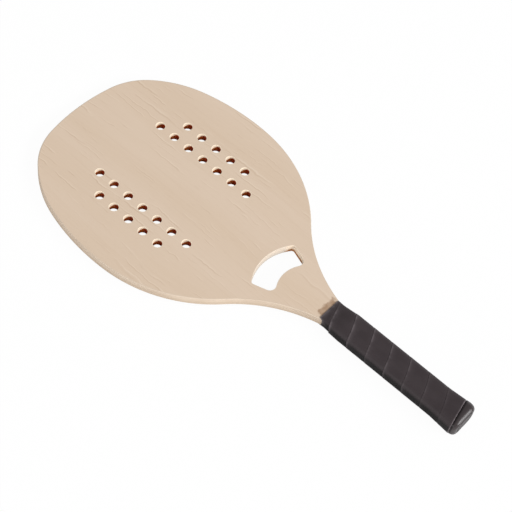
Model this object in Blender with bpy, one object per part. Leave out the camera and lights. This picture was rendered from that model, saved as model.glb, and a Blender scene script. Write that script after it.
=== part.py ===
"""Wooden beach racket: a drilled five-ply board, two handle cheeks, a wound grip tape and a butt cap.

Metres. +X runs from the butt to the tip of the head, +Y lies across the board and +Z stands out of
the upper face. The origin is the middle of the butt's flat end, level with the board's middle.
"""

import math

import bmesh
import bpy
import numpy as np

# Board build-up
PLY_THICKNESS = 0.00162
GLUE_LINE = 0.0001
EDGE_ROUNDING = 0.0015
SHARP_ANGLE = 32
PLY_NAMES = ("face_ply_bottom", "cross_ply_lower", "core_ply", "cross_ply_upper", "face_ply_top")

# Board outline: one arc after another from the tip back to the neck, on the +Y side.
# A heading is the way that the outline runs, in degrees, from 0 straight across to 90 towards the butt.
TIP_RADIUS = 0.197
TIP_END_HEADING = 10.9
CORNER_RADIUS = 0.063
CORNER_END_HEADING = 47.0
SHOULDER_RADIUS = 0.108
SHOULDER_END_HEADING = 74.0
SIDE_RADIUS = 0.2125
SIDE_END_HEADING = 93.4
FLANK_RADIUS = 0.1375
THROAT_RADIUS = 0.139
NECK_HEADING = 105.4
NECK_HALF_WIDTH = 0.0129
TANG_BLEND_RADIUS = 0.03

# Air holes: two mirrored groups on one square grid
HOLE_DIAMETER = 0.009
HOLE_PITCH = 0.0176
HOLE_CENTRE_FROM_TIP = 0.1196
INNER_ROW_FROM_AXIS = 0.0384
HOLES_PER_ROW = (7, 5)

# Throat slot, measured from the front edge of the grip
SLOT_OUTER_RADIUS = 0.0458
SLOT_INNER_RADIUS = 0.0295
SLOT_OUTER_AHEAD_OF_GRIP = 0.0731
SLOT_INNER_AHEAD_OF_GRIP = 0.0507
SLOT_END_HALF_WIDTH = 0.0259
SLOT_END_AHEAD_OF_GRIP = 0.0575
SLOT_END_SLANT = 18.5
SLOT_OUTER_CORNER_RADIUS = 0.004
SLOT_INNER_CORNER_RADIUS = 0.006

# Handle core: the board's tang between two cheeks
GRIP_FRONT_X = 0.1476
CHEEK_THICKNESS = 0.00245
CHEEK_NOSE_THICKNESS = 0.0003
CHEEK_RAMP_LENGTH = 0.0185
CHEEK_BEHIND_GRIP_FRONT = 0.0045
HANDLE_SIDE_FLAT = 0.0038
SEAT_CLEARANCE = 0.0003

# Grip tape: one strip wound from the neck to the butt
TAPE_THICKNESS = 0.002
TAPE_PITCH = 0.0198
TAPE_TURN_GAP = 0.00055
TAPE_LIP = 0.0004
TAPE_SKIVED_THICKNESS = 0.0003
TAPE_TAPER_LENGTH = 0.0225
TAPE_TAPER_POWER = 1.5
TAPE_SEAT_RAMP_LENGTH = 0.018
TAPE_SIDE_SETBACK = 0.0032
TAPE_RAMP_LENGTH = 0.0106
TAPE_LIP_LENGTH = 0.004
TAPE_LIP_SHOULDER = 0.9
TAPE_LEAST_WIDTH = 0.0018
FIRST_SEAM_BEHIND_GRIP_FRONT = 0.0062
SEAM_SWAY = 0.95
SEAM_STEEPEST_AT = -0.096
TAPE_END_X = 0.0078
TAPE_END_SLANT = 0.2
TAPE_FLARE = 0.0014
TAPE_FLARE_START_X = 0.026
TAPE_FLARE_END_X = 0.006
TAPE_CLIMB_LENGTH = 0.008

# Butt cap
CAP_END_WALL = 0.0032
CAP_SKIRT_WALL = 0.001
CAP_SKIRT_X = 0.022
CAP_PROUD_OF_TAPE = 0.0001
CAP_CREVICE = 0.0007
CAP_EDGE_LENGTH = 0.006
CAP_EDGE_ROUNDING_ACROSS = 0.005
CAP_EDGE_ROUNDING_UP = 0.0037
END_PLATE_THICKNESS = 0.0009
END_PLATE_RIM = 0.0013
END_PLATE_BEVEL = 0.0002

# Staples that hold the cap on the cheeks
STAPLE_X = 0.015
STAPLE_FROM_AXIS = 0.004
STAPLE_SPAN = 0.006
STAPLE_WIRE_WIDTH = 0.0007
STAPLE_WIRE_THICKNESS = 0.0004
STAPLE_LEG = 0.003

# How finely curves are drawn
OUTLINE_SAG = 0.00012
SLOT_SAG = 0.00006
HOLE_SIDES = 12
ROUNDING_STEPS = 3
HANDLE_CORNER_STEPS = 5
HANDLE_FLAT_STEPS = 2
CAP_EDGE_STEPS = 6

# Sizes that follow from the ones above
BOARD_HALF_THICKNESS = (len(PLY_NAMES) * PLY_THICKNESS + (len(PLY_NAMES) - 1) * GLUE_LINE) / 2
TANG_HALF_WIDTH = NECK_HALF_WIDTH - TANG_BLEND_RADIUS * (1 - math.sin(math.radians(NECK_HEADING)))
CHEEK_FOOT_Z = BOARD_HALF_THICKNESS + GLUE_LINE
CORE_HALF_THICKNESS = CHEEK_FOOT_Z + CHEEK_THICKNESS
TANG_END_X = CAP_END_WALL + SEAT_CLEARANCE
SKIRT_INNER_WIDTH = TANG_HALF_WIDTH + SEAT_CLEARANCE
SKIRT_INNER_THICKNESS = CORE_HALF_THICKNESS + SEAT_CLEARANCE
SKIRT_OUTER_WIDTH = SKIRT_INNER_WIDTH + CAP_SKIRT_WALL
SKIRT_OUTER_THICKNESS = SKIRT_INNER_THICKNESS + CAP_SKIRT_WALL
SIDE_HALF = HANDLE_SIDE_FLAT / 2
NECK_RUN = -TANG_BLEND_RADIUS * math.cos(math.radians(NECK_HEADING))


def linear_colour(red, green, blue):
    """A screen colour from 0 to 255 as the linear values that a shader takes."""
    shares = (red / 255, green / 255, blue / 255)
    return tuple(s / 12.92 if s <= 0.04045 else ((s + 0.055) / 1.055) ** 2.4 for s in shares)


def make_material(name, screen_colour, roughness, metallic=0.0):
    material = bpy.data.materials.new(name)
    material.use_nodes = True
    shader = material.node_tree.nodes["Principled BSDF"]
    shader.inputs["Base Color"].default_value = (*linear_colour(*screen_colour), 1.0)
    shader.inputs["Roughness"].default_value = roughness
    shader.inputs["Metallic"].default_value = metallic
    return material


def finish_object(name, bm, material):
    """Turns a mesh under construction into a named object with smooth rounds and sharp corners."""
    bmesh.ops.recalc_face_normals(bm, faces=bm.faces[:])
    mesh = bpy.data.meshes.new(name)
    bm.to_mesh(mesh)
    bm.free()
    mesh.shade_smooth()
    mesh.set_sharp_from_angle(angle=math.radians(SHARP_ANGLE))
    mesh.materials.append(material)
    piece = bpy.data.objects.new(name, mesh)
    bpy.context.scene.collection.objects.link(piece)
    return piece


def bridge_rings(bm, first, second):
    """Joins two closed rings of as many vertices with four-sided faces."""
    for i in range(len(first)):
        j = (i + 1) % len(first)
        bm.faces.new((first[i], first[j], second[j], second[i]))


def loft(rings):
    """A closed solid through rings of points, with its first and last ring filled."""
    bm = bmesh.new()
    rows = [[bm.verts.new(point) for point in ring] for ring in rings]
    for first, second in zip(rows, rows[1:]):
        bridge_rings(bm, first, second)
    bm.faces.new(rows[0])
    bm.faces.new(rows[-1])
    return bm


def arc_steps(radius, turn, sag):
    """How many straight steps an arc takes so that none leaves it by more than the sag."""
    return max(2, math.ceil(abs(turn) / (2 * math.acos(1 - sag / radius))))


def outline_arcs():
    """The outline's arcs as (radius, end heading in radians); a hollow arc has a negative radius."""
    widest = math.pi / 2
    corners = [
        (TIP_RADIUS, math.radians(TIP_END_HEADING)),
        (CORNER_RADIUS, math.radians(CORNER_END_HEADING)),
        (SHOULDER_RADIUS, math.radians(SHOULDER_END_HEADING)),
        (SIDE_RADIUS, widest),
        (SIDE_RADIUS, math.radians(SIDE_END_HEADING)),
    ]
    reach = 0.0
    heading = 0.0
    for radius, end in corners:
        reach += radius * (math.sin(end) - math.sin(heading))
        heading = end
    neck = math.radians(NECK_HEADING)
    # The flank arc turns until the hollow throat arc after it meets the neck's width and heading.
    rise = NECK_HALF_WIDTH - reach + FLANK_RADIUS * math.sin(heading) + THROAT_RADIUS * math.sin(neck)
    flank_end = math.pi - math.asin(rise / (FLANK_RADIUS + THROAT_RADIUS))
    return [*corners, (FLANK_RADIUS, flank_end), (-THROAT_RADIUS, neck), (-TANG_BLEND_RADIUS, widest)]


def half_outline():
    """Points (x, y, heading) of the +Y side from the tip to the tang, the neck at the grip's front."""
    points = [(0.0, 0.0, 0.0)]
    neck_x = 0.0
    for radius, end in outline_arcs():
        x, y, heading = points[-1]
        steps = arc_steps(abs(radius), end - heading, OUTLINE_SAG)
        for step in range(1, steps + 1):
            turned = heading + (end - heading) * step / steps
            points.append((
                x + radius * (math.cos(turned) - math.cos(heading)),
                y + radius * (math.sin(turned) - math.sin(heading)),
                turned,
            ))
        if radius == -THROAT_RADIUS:
            neck_x = points[-1][0]
    return [(x - neck_x + GRIP_FRONT_X, y, heading) for x, y, heading in points]


OUTLINE = half_outline()
TIP_X = OUTLINE[0][0]


def outline_ring(inset, z):
    """The whole outline as a ring, drawn in by the inset all round."""
    side = [(x - inset * math.cos(h), y - inset * math.sin(h)) for x, y, h in OUTLINE]
    side[0] = (TIP_X - inset, 0.0)
    side.append((TANG_END_X + inset, TANG_HALF_WIDTH - inset))
    mirrored = [(x, -y) for x, y in reversed(side[1:])]
    return [(x, y, z) for x, y in side + mirrored]


def hole_centres():
    """Centres of the air holes: a long row inside and a short row outside in each group."""
    centre_x = TIP_X - HOLE_CENTRE_FROM_TIP
    for side in (-1, 1):
        for row, count in enumerate(HOLES_PER_ROW):
            y = side * (INNER_ROW_FROM_AXIS + row * HOLE_PITCH)
            for index in range(count):
                yield centre_x + (index - (count - 1) / 2) * HOLE_PITCH, y


def hole_ring(centre):
    angles = [math.tau * side / HOLE_SIDES for side in range(HOLE_SIDES)]
    radius = HOLE_DIAMETER / 2
    return [(centre[0] + radius * math.cos(a), centre[1] + radius * math.sin(a)) for a in angles]


def fillet_centre(arc_x, arc_radius, line_offset):
    """Where a circle round (arc_x, 0) meets the slot's end line moved inwards by the offset."""
    slant = math.radians(SLOT_END_SLANT)
    inward = (math.sin(slant), -math.cos(slant))
    foot_x = GRIP_FRONT_X + SLOT_END_AHEAD_OF_GRIP + line_offset * inward[0] - arc_x
    foot_y = SLOT_END_HALF_WIDTH + line_offset * inward[1]
    along = (math.cos(slant), math.sin(slant))
    towards = foot_x * along[0] + foot_y * along[1]
    reach = math.sqrt(towards**2 - foot_x**2 - foot_y**2 + arc_radius**2)
    shift = reach - towards
    return arc_x + foot_x + shift * along[0], foot_y + shift * along[1]


def arc_points(centre, radius, start, end, sag):
    steps = arc_steps(radius, end - start, sag)
    angles = [start + (end - start) * step / steps for step in range(steps + 1)]
    return [(centre[0] + radius * math.cos(a), centre[1] + radius * math.sin(a)) for a in angles]


def slot_ring():
    """The arched slot: two arcs that bulge towards the head, slanted ends and rounded corners."""
    outer_x = GRIP_FRONT_X + SLOT_OUTER_AHEAD_OF_GRIP - SLOT_OUTER_RADIUS
    inner_x = GRIP_FRONT_X + SLOT_INNER_AHEAD_OF_GRIP - SLOT_INNER_RADIUS
    slant = math.radians(SLOT_END_SLANT)
    far_r = SLOT_OUTER_CORNER_RADIUS
    near_r = SLOT_INNER_CORNER_RADIUS
    far = fillet_centre(outer_x, SLOT_OUTER_RADIUS - far_r, far_r)
    near = fillet_centre(inner_x, SLOT_INNER_RADIUS + near_r, near_r)
    far_angle = math.atan2(far[1], far[0] - outer_x)
    near_angle = math.atan2(near[1], near[0] - inner_x)
    half = arc_points((outer_x, 0), SLOT_OUTER_RADIUS, 0, far_angle, SLOT_SAG)[:-1]
    half += arc_points(far, far_r, far_angle, slant + math.pi / 2, SLOT_SAG)
    half += arc_points(near, near_r, slant + math.pi / 2, near_angle + math.pi, SLOT_SAG)
    half += arc_points((inner_x, 0), SLOT_INNER_RADIUS, near_angle, 0, SLOT_SAG)[1:]
    mirrored = [(x, -y) for x, y in reversed(half[1:-1])]
    return half + mirrored


def fill_face(bm, rings):
    """Fills the first ring of vertices with flat faces, leaving the other rings open."""
    edges = []
    for ring in rings:
        for i in range(len(ring)):
            pair = (ring[i - 1], ring[i])
            edges.append(bm.edges.get(pair) or bm.edges.new(pair))
    bmesh.ops.triangle_fill(bm, use_beauty=True, edges=edges)


def make_ply(name, level, material):
    """One ply with its holes and slot; an outermost ply has the board's rounded edge."""
    low = -BOARD_HALF_THICKNESS + level * (PLY_THICKNESS + GLUE_LINE)
    high = low + PLY_THICKNESS
    rounding = min(EDGE_ROUNDING, 0.95 * PLY_THICKNESS)
    angles = [math.pi / 2 * step / ROUNDING_STEPS for step in range(ROUNDING_STEPS + 1)]
    rounds = [(rounding * (1 - math.cos(a)), rounding * (1 - math.sin(a))) for a in angles]
    levels = [(0.0, low), (0.0, high)]
    if level == len(PLY_NAMES) - 1:
        levels = [(0.0, low)] + [(inset, high - drop) for inset, drop in rounds]
    if level == 0:
        levels = [(inset, low + drop) for inset, drop in reversed(rounds)] + [(0.0, high)]
    bm = bmesh.new()
    edge = [[bm.verts.new(point) for point in outline_ring(inset, z)] for inset, z in levels]
    for first, second in zip(edge, edge[1:]):
        bridge_rings(bm, first, second)
    bottom = [edge[0]]
    top = [edge[-1]]
    for opening in [slot_ring(), *(hole_ring(centre) for centre in hole_centres())]:
        bottom.append([bm.verts.new((x, y, low)) for x, y in opening])
        top.append([bm.verts.new((x, y, high)) for x, y in opening])
        bridge_rings(bm, bottom[-1], top[-1])
    fill_face(bm, bottom)
    fill_face(bm, top)
    return finish_object(name, bm, material)


def handle_stations():
    """Places round the handle from the middle of its top towards +Y, as (across, up, angle).

    Across and up are shares of the way to the corner's centre, and the angle is the way out.
    """
    def flat(start, end, steps, angle):
        up = round(math.sin(angle))
        return [(start + (end - start) * step / steps, up, angle) for step in range(steps)]

    def corner(across, up, start):
        turns = [start - math.pi / 2 * step / HANDLE_CORNER_STEPS for step in range(HANDLE_CORNER_STEPS)]
        return [(across, up, turn) for turn in turns]

    quarter = math.pi / 2
    stations = flat(0, 1, HANDLE_FLAT_STEPS, quarter) + corner(1, 1, quarter) + [(1, 1, 0.0)]
    stations += corner(1, -1, 0.0) + flat(1, -1, 2 * HANDLE_FLAT_STEPS, -quarter)
    stations += corner(-1, -1, -quarter) + [(-1, -1, -math.pi)]
    stations += corner(-1, 1, -math.pi) + flat(-1, 0, HANDLE_FLAT_STEPS, -3 * quarter)
    return stations


def station_point(station, half_width, half_thickness, side_half):
    """The point (y, z) of a station on a rounded section with straight sides of the given half height."""
    across, up, angle = station
    radius = half_thickness - side_half
    y = across * (half_width - radius) + radius * math.cos(angle)
    z = up * side_half + radius * math.sin(angle)
    return y, z


def section_ring(x, half_width, half_thickness):
    """A ring round the handle at x."""
    spots = [station_point(station, half_width, half_thickness, SIDE_HALF) for station in handle_stations()]
    return [(x, *spot) for spot in spots]


def cheek_ring(x, half_thickness, side):
    """Section of a cheek at x: flat on the board, rounded on the outside."""
    radius = half_thickness - SIDE_HALF
    start = math.asin((CHEEK_FOOT_Z - SIDE_HALF) / radius)
    steps = range(HANDLE_CORNER_STEPS + 1)
    angles = [start + (math.pi / 2 - start) * step / HANDLE_CORNER_STEPS for step in steps]
    centre_y = TANG_HALF_WIDTH - radius
    corner = [(centre_y + radius * math.cos(a), SIDE_HALF + radius * math.sin(a)) for a in angles]
    profile = corner + [(-y, z) for y, z in reversed(corner)]
    return [(x, y, side * z) for y, z in profile]


def make_cheek(name, side, material):
    """A wooden cheek glued on one face of the tang, ramped down towards the board."""
    nose_x = GRIP_FRONT_X - CHEEK_BEHIND_GRIP_FRONT
    rings = [
        cheek_ring(TANG_END_X, CORE_HALF_THICKNESS, side),
        cheek_ring(nose_x - CHEEK_RAMP_LENGTH, CORE_HALF_THICKNESS, side),
        cheek_ring(nose_x, CHEEK_FOOT_Z + CHEEK_NOSE_THICKNESS, side),
    ]
    return finish_object(name, loft(rings), material)


def blended(x, levels):
    """Half width, half thickness and side half height at x, straight between the named levels."""
    places = [level[0] for level in levels]
    return [float(np.interp(x, places, [level[1][i] for level in levels])) for i in range(3)]


def tang_half_width(x):
    """The board's half width at x under the grip, where its neck narrows into the tang."""
    behind = NECK_RUN - (GRIP_FRONT_X - x)
    if behind <= 0:
        return TANG_HALF_WIDTH
    return TANG_HALF_WIDTH + TANG_BLEND_RADIUS - math.sqrt(TANG_BLEND_RADIUS**2 - behind**2)


def wood_seat(x):
    """The tape's inside on the wood: snug round the board's rounded edge, then up over the cheeks."""
    share = min(1, (GRIP_FRONT_X - x) / TAPE_SEAT_RAMP_LENGTH)
    corner_height = BOARD_HALF_THICKNESS - EDGE_ROUNDING
    return (
        tang_half_width(x) + SEAT_CLEARANCE,
        BOARD_HALF_THICKNESS + (CORE_HALF_THICKNESS - BOARD_HALF_THICKNESS) * share + SEAT_CLEARANCE,
        corner_height + (SIDE_HALF - corner_height) * share,
    )


def tape_inside(x):
    """Section of the tape's inside at x: on the wood, then over the cap's skirt."""
    on_skirt = (SKIRT_OUTER_WIDTH + SEAT_CLEARANCE, SKIRT_OUTER_THICKNESS + SEAT_CLEARANCE, SIDE_HALF)
    climb_end = TAPE_FLARE_START_X
    climb_start = climb_end + TAPE_CLIMB_LENGTH
    if x > climb_start:
        return wood_seat(x)
    return blended(x, [(climb_end, on_skirt), (climb_start, wood_seat(climb_start))])


def tape_outside(x):
    """Section of the tape's outside at x, before the raised lip of each turn."""
    share = min(1, (GRIP_FRONT_X - x) / TAPE_TAPER_LENGTH)
    thickness = TAPE_SKIVED_THICKNESS + (TAPE_THICKNESS - TAPE_SKIVED_THICKNESS) * share**TAPE_TAPER_POWER
    flared = float(np.interp(x, [TAPE_FLARE_END_X, TAPE_FLARE_START_X], [TAPE_FLARE, 0.0]))
    across, up, side_half = wood_seat(x)
    return across + thickness + flared, up + thickness + flared, side_half


def tape_end_x(station):
    """Where the strip's last edge lies at a station; the edge leans across the handle."""
    return TAPE_END_X - TAPE_END_SLANT * station_point(station, *cap_sizes(), SIDE_HALF)[0]


def tape_front_x(station):
    """Where the grip begins at a station: square across both faces, set back on the sides."""
    return GRIP_FRONT_X - TAPE_SIDE_SETBACK * math.cos(station[2]) ** 2


def tape_rows():
    """Rows across the strip, one for each station passed, as (station, rear x, front x, lip height)."""
    stations = handle_stations()
    outside = tape_outside((GRIP_FRONT_X + CAP_SKIRT_X) / 2)
    spots = [station_point(station, *outside) for station in stations]
    steps = [math.dist(spots[i - 1], spots[i]) for i in range(1, len(spots))]
    girth = sum(steps) + math.dist(spots[-1], spots[0])
    shares = [sum(steps[:i]) / girth for i in range(len(spots))]
    first_seam = GRIP_FRONT_X - FIRST_SEAM_BEHIND_GRIP_FRONT
    width = TAPE_PITCH - TAPE_TURN_GAP
    most_turns = math.ceil(GRIP_FRONT_X / TAPE_PITCH) + 2
    rows = []
    for index in range(-len(stations), most_turns * len(stations)):
        turn, place = divmod(index, len(stations))
        share = shares[place]
        lag = math.sin(math.tau * (share - SEAM_STEEPEST_AT)) + math.sin(math.tau * SEAM_STEEPEST_AT)
        wound = turn + share + SEAM_SWAY * lag / math.tau
        seam_x = first_seam + TAPE_PITCH * (1 - wound)
        rear = max(seam_x - width, tape_end_x(stations[place]))
        front = min(seam_x, tape_front_x(stations[place]))
        # The lip rises from nothing at the grip's front edge to its full height at the first seam.
        lip = TAPE_LIP * min(1, (tape_front_x(stations[place]) - front) / FIRST_SEAM_BEHIND_GRIP_FRONT)
        if front - rear >= TAPE_LEAST_WIDTH:
            rows.append((stations[place], rear, front, lip))
    return rows


def tape_columns(rear, front, lip):
    """Places across the strip from its rear edge to its front edge, as (x, lip height there)."""
    least = TAPE_LEAST_WIDTH / 3
    return [
        (rear, 0.0),
        (max(rear + least, front - TAPE_RAMP_LENGTH), 0.0),
        (max(rear + 2 * least, front - TAPE_LIP_LENGTH), TAPE_LIP_SHOULDER * lip),
        (front, lip),
    ]


def least_gap(points, path):
    """The least distance from any of the points to the path, in metres, more than half a turn away."""
    half_turn = len(handle_stations()) // 2
    starts = path[:-1]
    runs = path[1:] - starts
    least = math.inf
    for index, point in enumerate(points):
        shares = np.clip(((point - starts) * runs).sum(1) / (runs * runs).sum(1), 0, 1)
        distances = np.linalg.norm(starts + shares[:, None] * runs - point, axis=1)
        apart = np.abs(np.arange(len(starts)) - index) > half_turn
        least = min(least, distances[apart].min())
    return least


def make_tape(material):
    """The grip tape: one unbroken strip, each turn's front edge raised over the turn before it."""
    bm = bmesh.new()
    rows = []
    for station, rear, front, lip in tape_rows():
        outside = []
        inside = []
        for x, raised in tape_columns(rear, front, lip):
            width, thickness, side_half = tape_outside(x)
            outer = station_point(station, width + raised, thickness + raised, side_half)
            inner = station_point(station, *tape_inside(x))
            outside.append(bm.verts.new((x, *outer)))
            inside.append(bm.verts.new((x, *inner)))
        rows.append(outside + inside[::-1])
    for first, second in zip(rows, rows[1:]):
        bridge_rings(bm, first, second)
    bm.faces.new(rows[0])
    bm.faces.new(rows[-1])
    columns = len(rows[0]) // 2
    rear_edge = np.array([row[0].co for row in rows])
    front_edge = np.array([row[columns - 1].co for row in rows])
    print(f"grip tape: least gap between turns {least_gap(front_edge, rear_edge) * 1000:.2f} mm")
    return finish_object("grip_tape", bm, material)


def cap_sizes():
    """Half width and half thickness of the cap's visible end."""
    width, thickness, _ = tape_outside(0)
    return width + CAP_PROUD_OF_TAPE, thickness + CAP_PROUD_OF_TAPE


def end_plate_sizes():
    """Half width and half thickness of the recess in the cap's flat end."""
    width, thickness = cap_sizes()
    width -= CAP_EDGE_ROUNDING_ACROSS + END_PLATE_RIM
    thickness -= CAP_EDGE_ROUNDING_UP + END_PLATE_RIM
    return width, thickness


def cap_edge_ring(share):
    """A ring of the cap's outside at a share of the way from its flat end to the leaning shoulder."""
    width, thickness = cap_sizes()
    ring = []
    for station in handle_stations():
        x = share * (tape_end_x(station) - CAP_CREVICE)
        left = max(0, 1 - x / CAP_EDGE_LENGTH)
        drawn_in = 1 - math.sqrt(1 - left**2)
        across = width - CAP_EDGE_ROUNDING_ACROSS * drawn_in
        up = thickness - CAP_EDGE_ROUNDING_UP * drawn_in
        ring.append((x, *station_point(station, across, up, SIDE_HALF)))
    return ring


def shoulder_foot_ring():
    """The ring where the cap's leaning shoulder meets its skirt."""
    ring = []
    for station in handle_stations():
        spot = station_point(station, SKIRT_OUTER_WIDTH, SKIRT_OUTER_THICKNESS, SIDE_HALF)
        ring.append((tape_end_x(station) - CAP_CREVICE, *spot))
    return ring


def make_cap(material):
    """The moulded butt cap: a recessed end, a rounded edge, a leaning shoulder and a skirt."""
    recess = end_plate_sizes()
    recess_floor = END_PLATE_THICKNESS + SEAT_CLEARANCE
    rings = [section_ring(recess_floor, *recess), section_ring(0.0, *recess)]
    for step in range(CAP_EDGE_STEPS + 1):
        rings.append(cap_edge_ring(1 - math.cos(math.pi / 2 * step / CAP_EDGE_STEPS)))
    skirt = (SKIRT_OUTER_WIDTH, SKIRT_OUTER_THICKNESS)
    hollow = (SKIRT_INNER_WIDTH, SKIRT_INNER_THICKNESS)
    rings += [
        shoulder_foot_ring(),
        section_ring(CAP_SKIRT_X, *skirt),
        section_ring(CAP_SKIRT_X, *hollow),
        section_ring(CAP_END_WALL, *hollow),
    ]
    return finish_object("butt_cap", loft(rings), material)


def make_end_plate(material):
    """The thin plate set into the cap's flat end, its own face level with the cap's."""
    width, thickness = [size - SEAT_CLEARANCE for size in end_plate_sizes()]
    rings = [
        section_ring(0.0, width - END_PLATE_BEVEL, thickness - END_PLATE_BEVEL),
        section_ring(END_PLATE_BEVEL, width, thickness),
        section_ring(END_PLATE_THICKNESS, width, thickness),
    ]
    return finish_object("end_plate", loft(rings), material)


def staple_solid(y, side, grow=0.0, above=0.0):
    """A staple seen from the side as an upside-down U, or with room all round it as a cutter."""
    top = SKIRT_OUTER_THICKNESS + above
    under = SKIRT_OUTER_THICKNESS - STAPLE_WIRE_THICKNESS - grow / 2
    foot = SKIRT_OUTER_THICKNESS - STAPLE_LEG - grow
    outer = STAPLE_SPAN / 2 + STAPLE_WIRE_WIDTH / 2 + grow
    inner = STAPLE_SPAN / 2 - STAPLE_WIRE_WIDTH / 2 - grow
    profile = [
        (-outer, foot), (-inner, foot), (-inner, under), (inner, under),
        (inner, foot), (outer, foot), (outer, top), (-outer, top),
    ]
    half = STAPLE_WIRE_WIDTH / 2 + grow
    rings = [[(STAPLE_X + x, y + offset, side * z) for x, z in profile] for offset in (-half, half)]
    return loft(rings)


def make_staples(steel, cutter_material, top_pieces, bottom_pieces):
    """Staples through the skirt into each cheek, with the slots that they stand in."""
    number = 0
    for side, pieces in ((1, top_pieces), (-1, bottom_pieces)):
        for y in (-STAPLE_FROM_AXIS, STAPLE_FROM_AXIS):
            number += 1
            finish_object(f"cap_staple_{number}", staple_solid(y, side), steel)
            slot = staple_solid(y, side, SEAT_CLEARANCE, 2 * STAPLE_WIRE_THICKNESS)
            cutter = finish_object(f"staple_slot_{number}", slot, cutter_material)
            cutter.hide_render = True
            cutter.display_type = "WIRE"
            for piece in pieces:
                cut = piece.modifiers.new(cutter.name, "BOOLEAN")
                cut.operation = "DIFFERENCE"
                cut.solver = "EXACT"
                cut.object = cutter


def clear_scene():
    for piece in list(bpy.data.objects):
        bpy.data.objects.remove(piece)


def main():
    clear_scene()
    face_wood = make_material("face_wood", (213, 193, 170), 0.5)
    cross_wood = make_material("cross_wood", (226, 206, 180), 0.6)
    cheek_wood = make_material("cheek_wood", (205, 178, 145), 0.6)
    tape_leather = make_material("tape_leather", (62, 57, 56), 0.55)
    cap_plastic = make_material("cap_plastic", (60, 55, 54), 0.35)
    plate_plastic = make_material("plate_plastic", (72, 67, 65), 0.4)
    staple_steel = make_material("staple_steel", (190, 190, 192), 0.3, 1.0)
    for level, name in enumerate(PLY_NAMES):
        outermost = level in (0, len(PLY_NAMES) - 1)
        make_ply(name, level, face_wood if outermost else cross_wood)
    cheek_top = make_cheek("handle_cheek_top", 1, cheek_wood)
    cheek_bottom = make_cheek("handle_cheek_bottom", -1, cheek_wood)
    make_tape(tape_leather)
    cap = make_cap(cap_plastic)
    make_end_plate(plate_plastic)
    make_staples(staple_steel, cap_plastic, (cap, cheek_top), (cap, cheek_bottom))
    print(f"overall length {TIP_X * 1000:.1f} mm, head width {max(p[1] for p in OUTLINE) * 2000:.1f} mm")


main()
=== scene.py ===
"""Studio scene of a wooden beach racket: drilled plywood board, wound grip tape and moulded butt cap."""

import math

import bmesh
import bpy
import numpy as np
from mathutils import Matrix, Vector


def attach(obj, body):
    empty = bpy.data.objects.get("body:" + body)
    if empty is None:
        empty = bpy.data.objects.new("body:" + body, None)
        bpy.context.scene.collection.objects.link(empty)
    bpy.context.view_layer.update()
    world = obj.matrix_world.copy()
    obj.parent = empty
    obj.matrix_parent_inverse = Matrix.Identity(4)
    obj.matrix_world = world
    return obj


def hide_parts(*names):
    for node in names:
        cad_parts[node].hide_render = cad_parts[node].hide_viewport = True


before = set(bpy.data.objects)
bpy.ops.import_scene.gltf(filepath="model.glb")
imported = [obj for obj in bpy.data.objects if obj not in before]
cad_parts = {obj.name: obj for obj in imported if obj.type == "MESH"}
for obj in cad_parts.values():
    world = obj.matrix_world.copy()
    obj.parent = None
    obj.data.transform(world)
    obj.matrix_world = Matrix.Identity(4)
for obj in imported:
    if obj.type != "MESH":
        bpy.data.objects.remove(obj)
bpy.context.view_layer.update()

# Lengths are in metres and angles in degrees, unless a comment says otherwise.

# Camera, solved from the photograph, with lens and sensor in millimetres
CAMERA_PLACE = (-0.15958, 0.59108, 1.02733)
CAMERA_FORWARD = (0.31150, -0.47266, -0.82436)
CAMERA_ROLL = 10.51
CAMERA_LENS = 101.44
CAMERA_SENSOR = 36.0
CAMERA_CLIP_END = 20.0

# Light and floor, each soft box by its azimuth, elevation, size and power
SKY_STRENGTH = 0.55
LAMP_DISTANCE = 8.0
LAMP_TARGET = (0.22, 0.0, 0.0)
KEY_BOX = (192, 28, (7.0, 1.6), 580)
FILL_BOX = (90, 12, (4.0, 1.5), 150)
FLOOR_REACH = 3.0
FLOOR_GAP = 0.0002
FLOOR_WHITENESS = 0.95
FLOOR_SHADOW_SHARE = 0.04

# Board build-up, its top above the middle plane, and each ply as (CAD node, piece)
BOARD_TOP = 0.00425
GLUE_LINE = 0.00003
EDGE_ROUNDING = 0.0015
SANDED_ROUNDING = 0.0008
PLIES = (
    ("face_ply_bottom", "board_face_bottom"),
    ("cross_ply_lower", "board_cross_lower"),
    ("core_ply", "board_core"),
    ("cross_ply_upper", "board_cross_upper"),
    ("face_ply_top", "board_face_top"),
)

# Board outline: arcs from the tip towards the neck as (radius, heading where the arc ends)
TIP_ARCS = ((0.197, 10.9), (0.063, 47.0), (0.108, 74.0), (0.2125, 90.0), (0.2125, 93.4))
FLANK_RADIUS = 0.1375
THROAT_RADIUS = 0.139
NECK_HEADING = 105.4
NECK_HALF_WIDTH = 0.0129
TANG_BLEND_RADIUS = 0.03
GRIP_FRONT_X = 0.1476
TANG_END_X = 0.0035

# Air holes
HOLE_RADIUS = 0.00455
HOLE_RIM = 0.00025
HOLE_LINING = 0.0001
HOLE_LAMP_HEADING = 20
HOLE_PITCH = 0.0176
HOLE_CENTRE_FROM_TIP = 0.1196
INNER_ROW_FROM_AXIS = 0.0384
HOLES_PER_ROW = (7, 5)

# Throat slot, measured from the front edge of the grip
SLOT_OUTER_RADIUS = 0.0458
SLOT_INNER_RADIUS = 0.0295
SLOT_OUTER_AHEAD_OF_GRIP = 0.0731
SLOT_INNER_AHEAD_OF_GRIP = 0.0507
SLOT_END_HALF_WIDTH = 0.0259
SLOT_END_AHEAD_OF_GRIP = 0.0575
SLOT_END_SLANT = 18.5
SLOT_OUTER_CORNER_RADIUS = 0.0026
SLOT_INNER_CORNER_RADIUS = 0.006
SLOT_RIM = 0.00018

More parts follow.
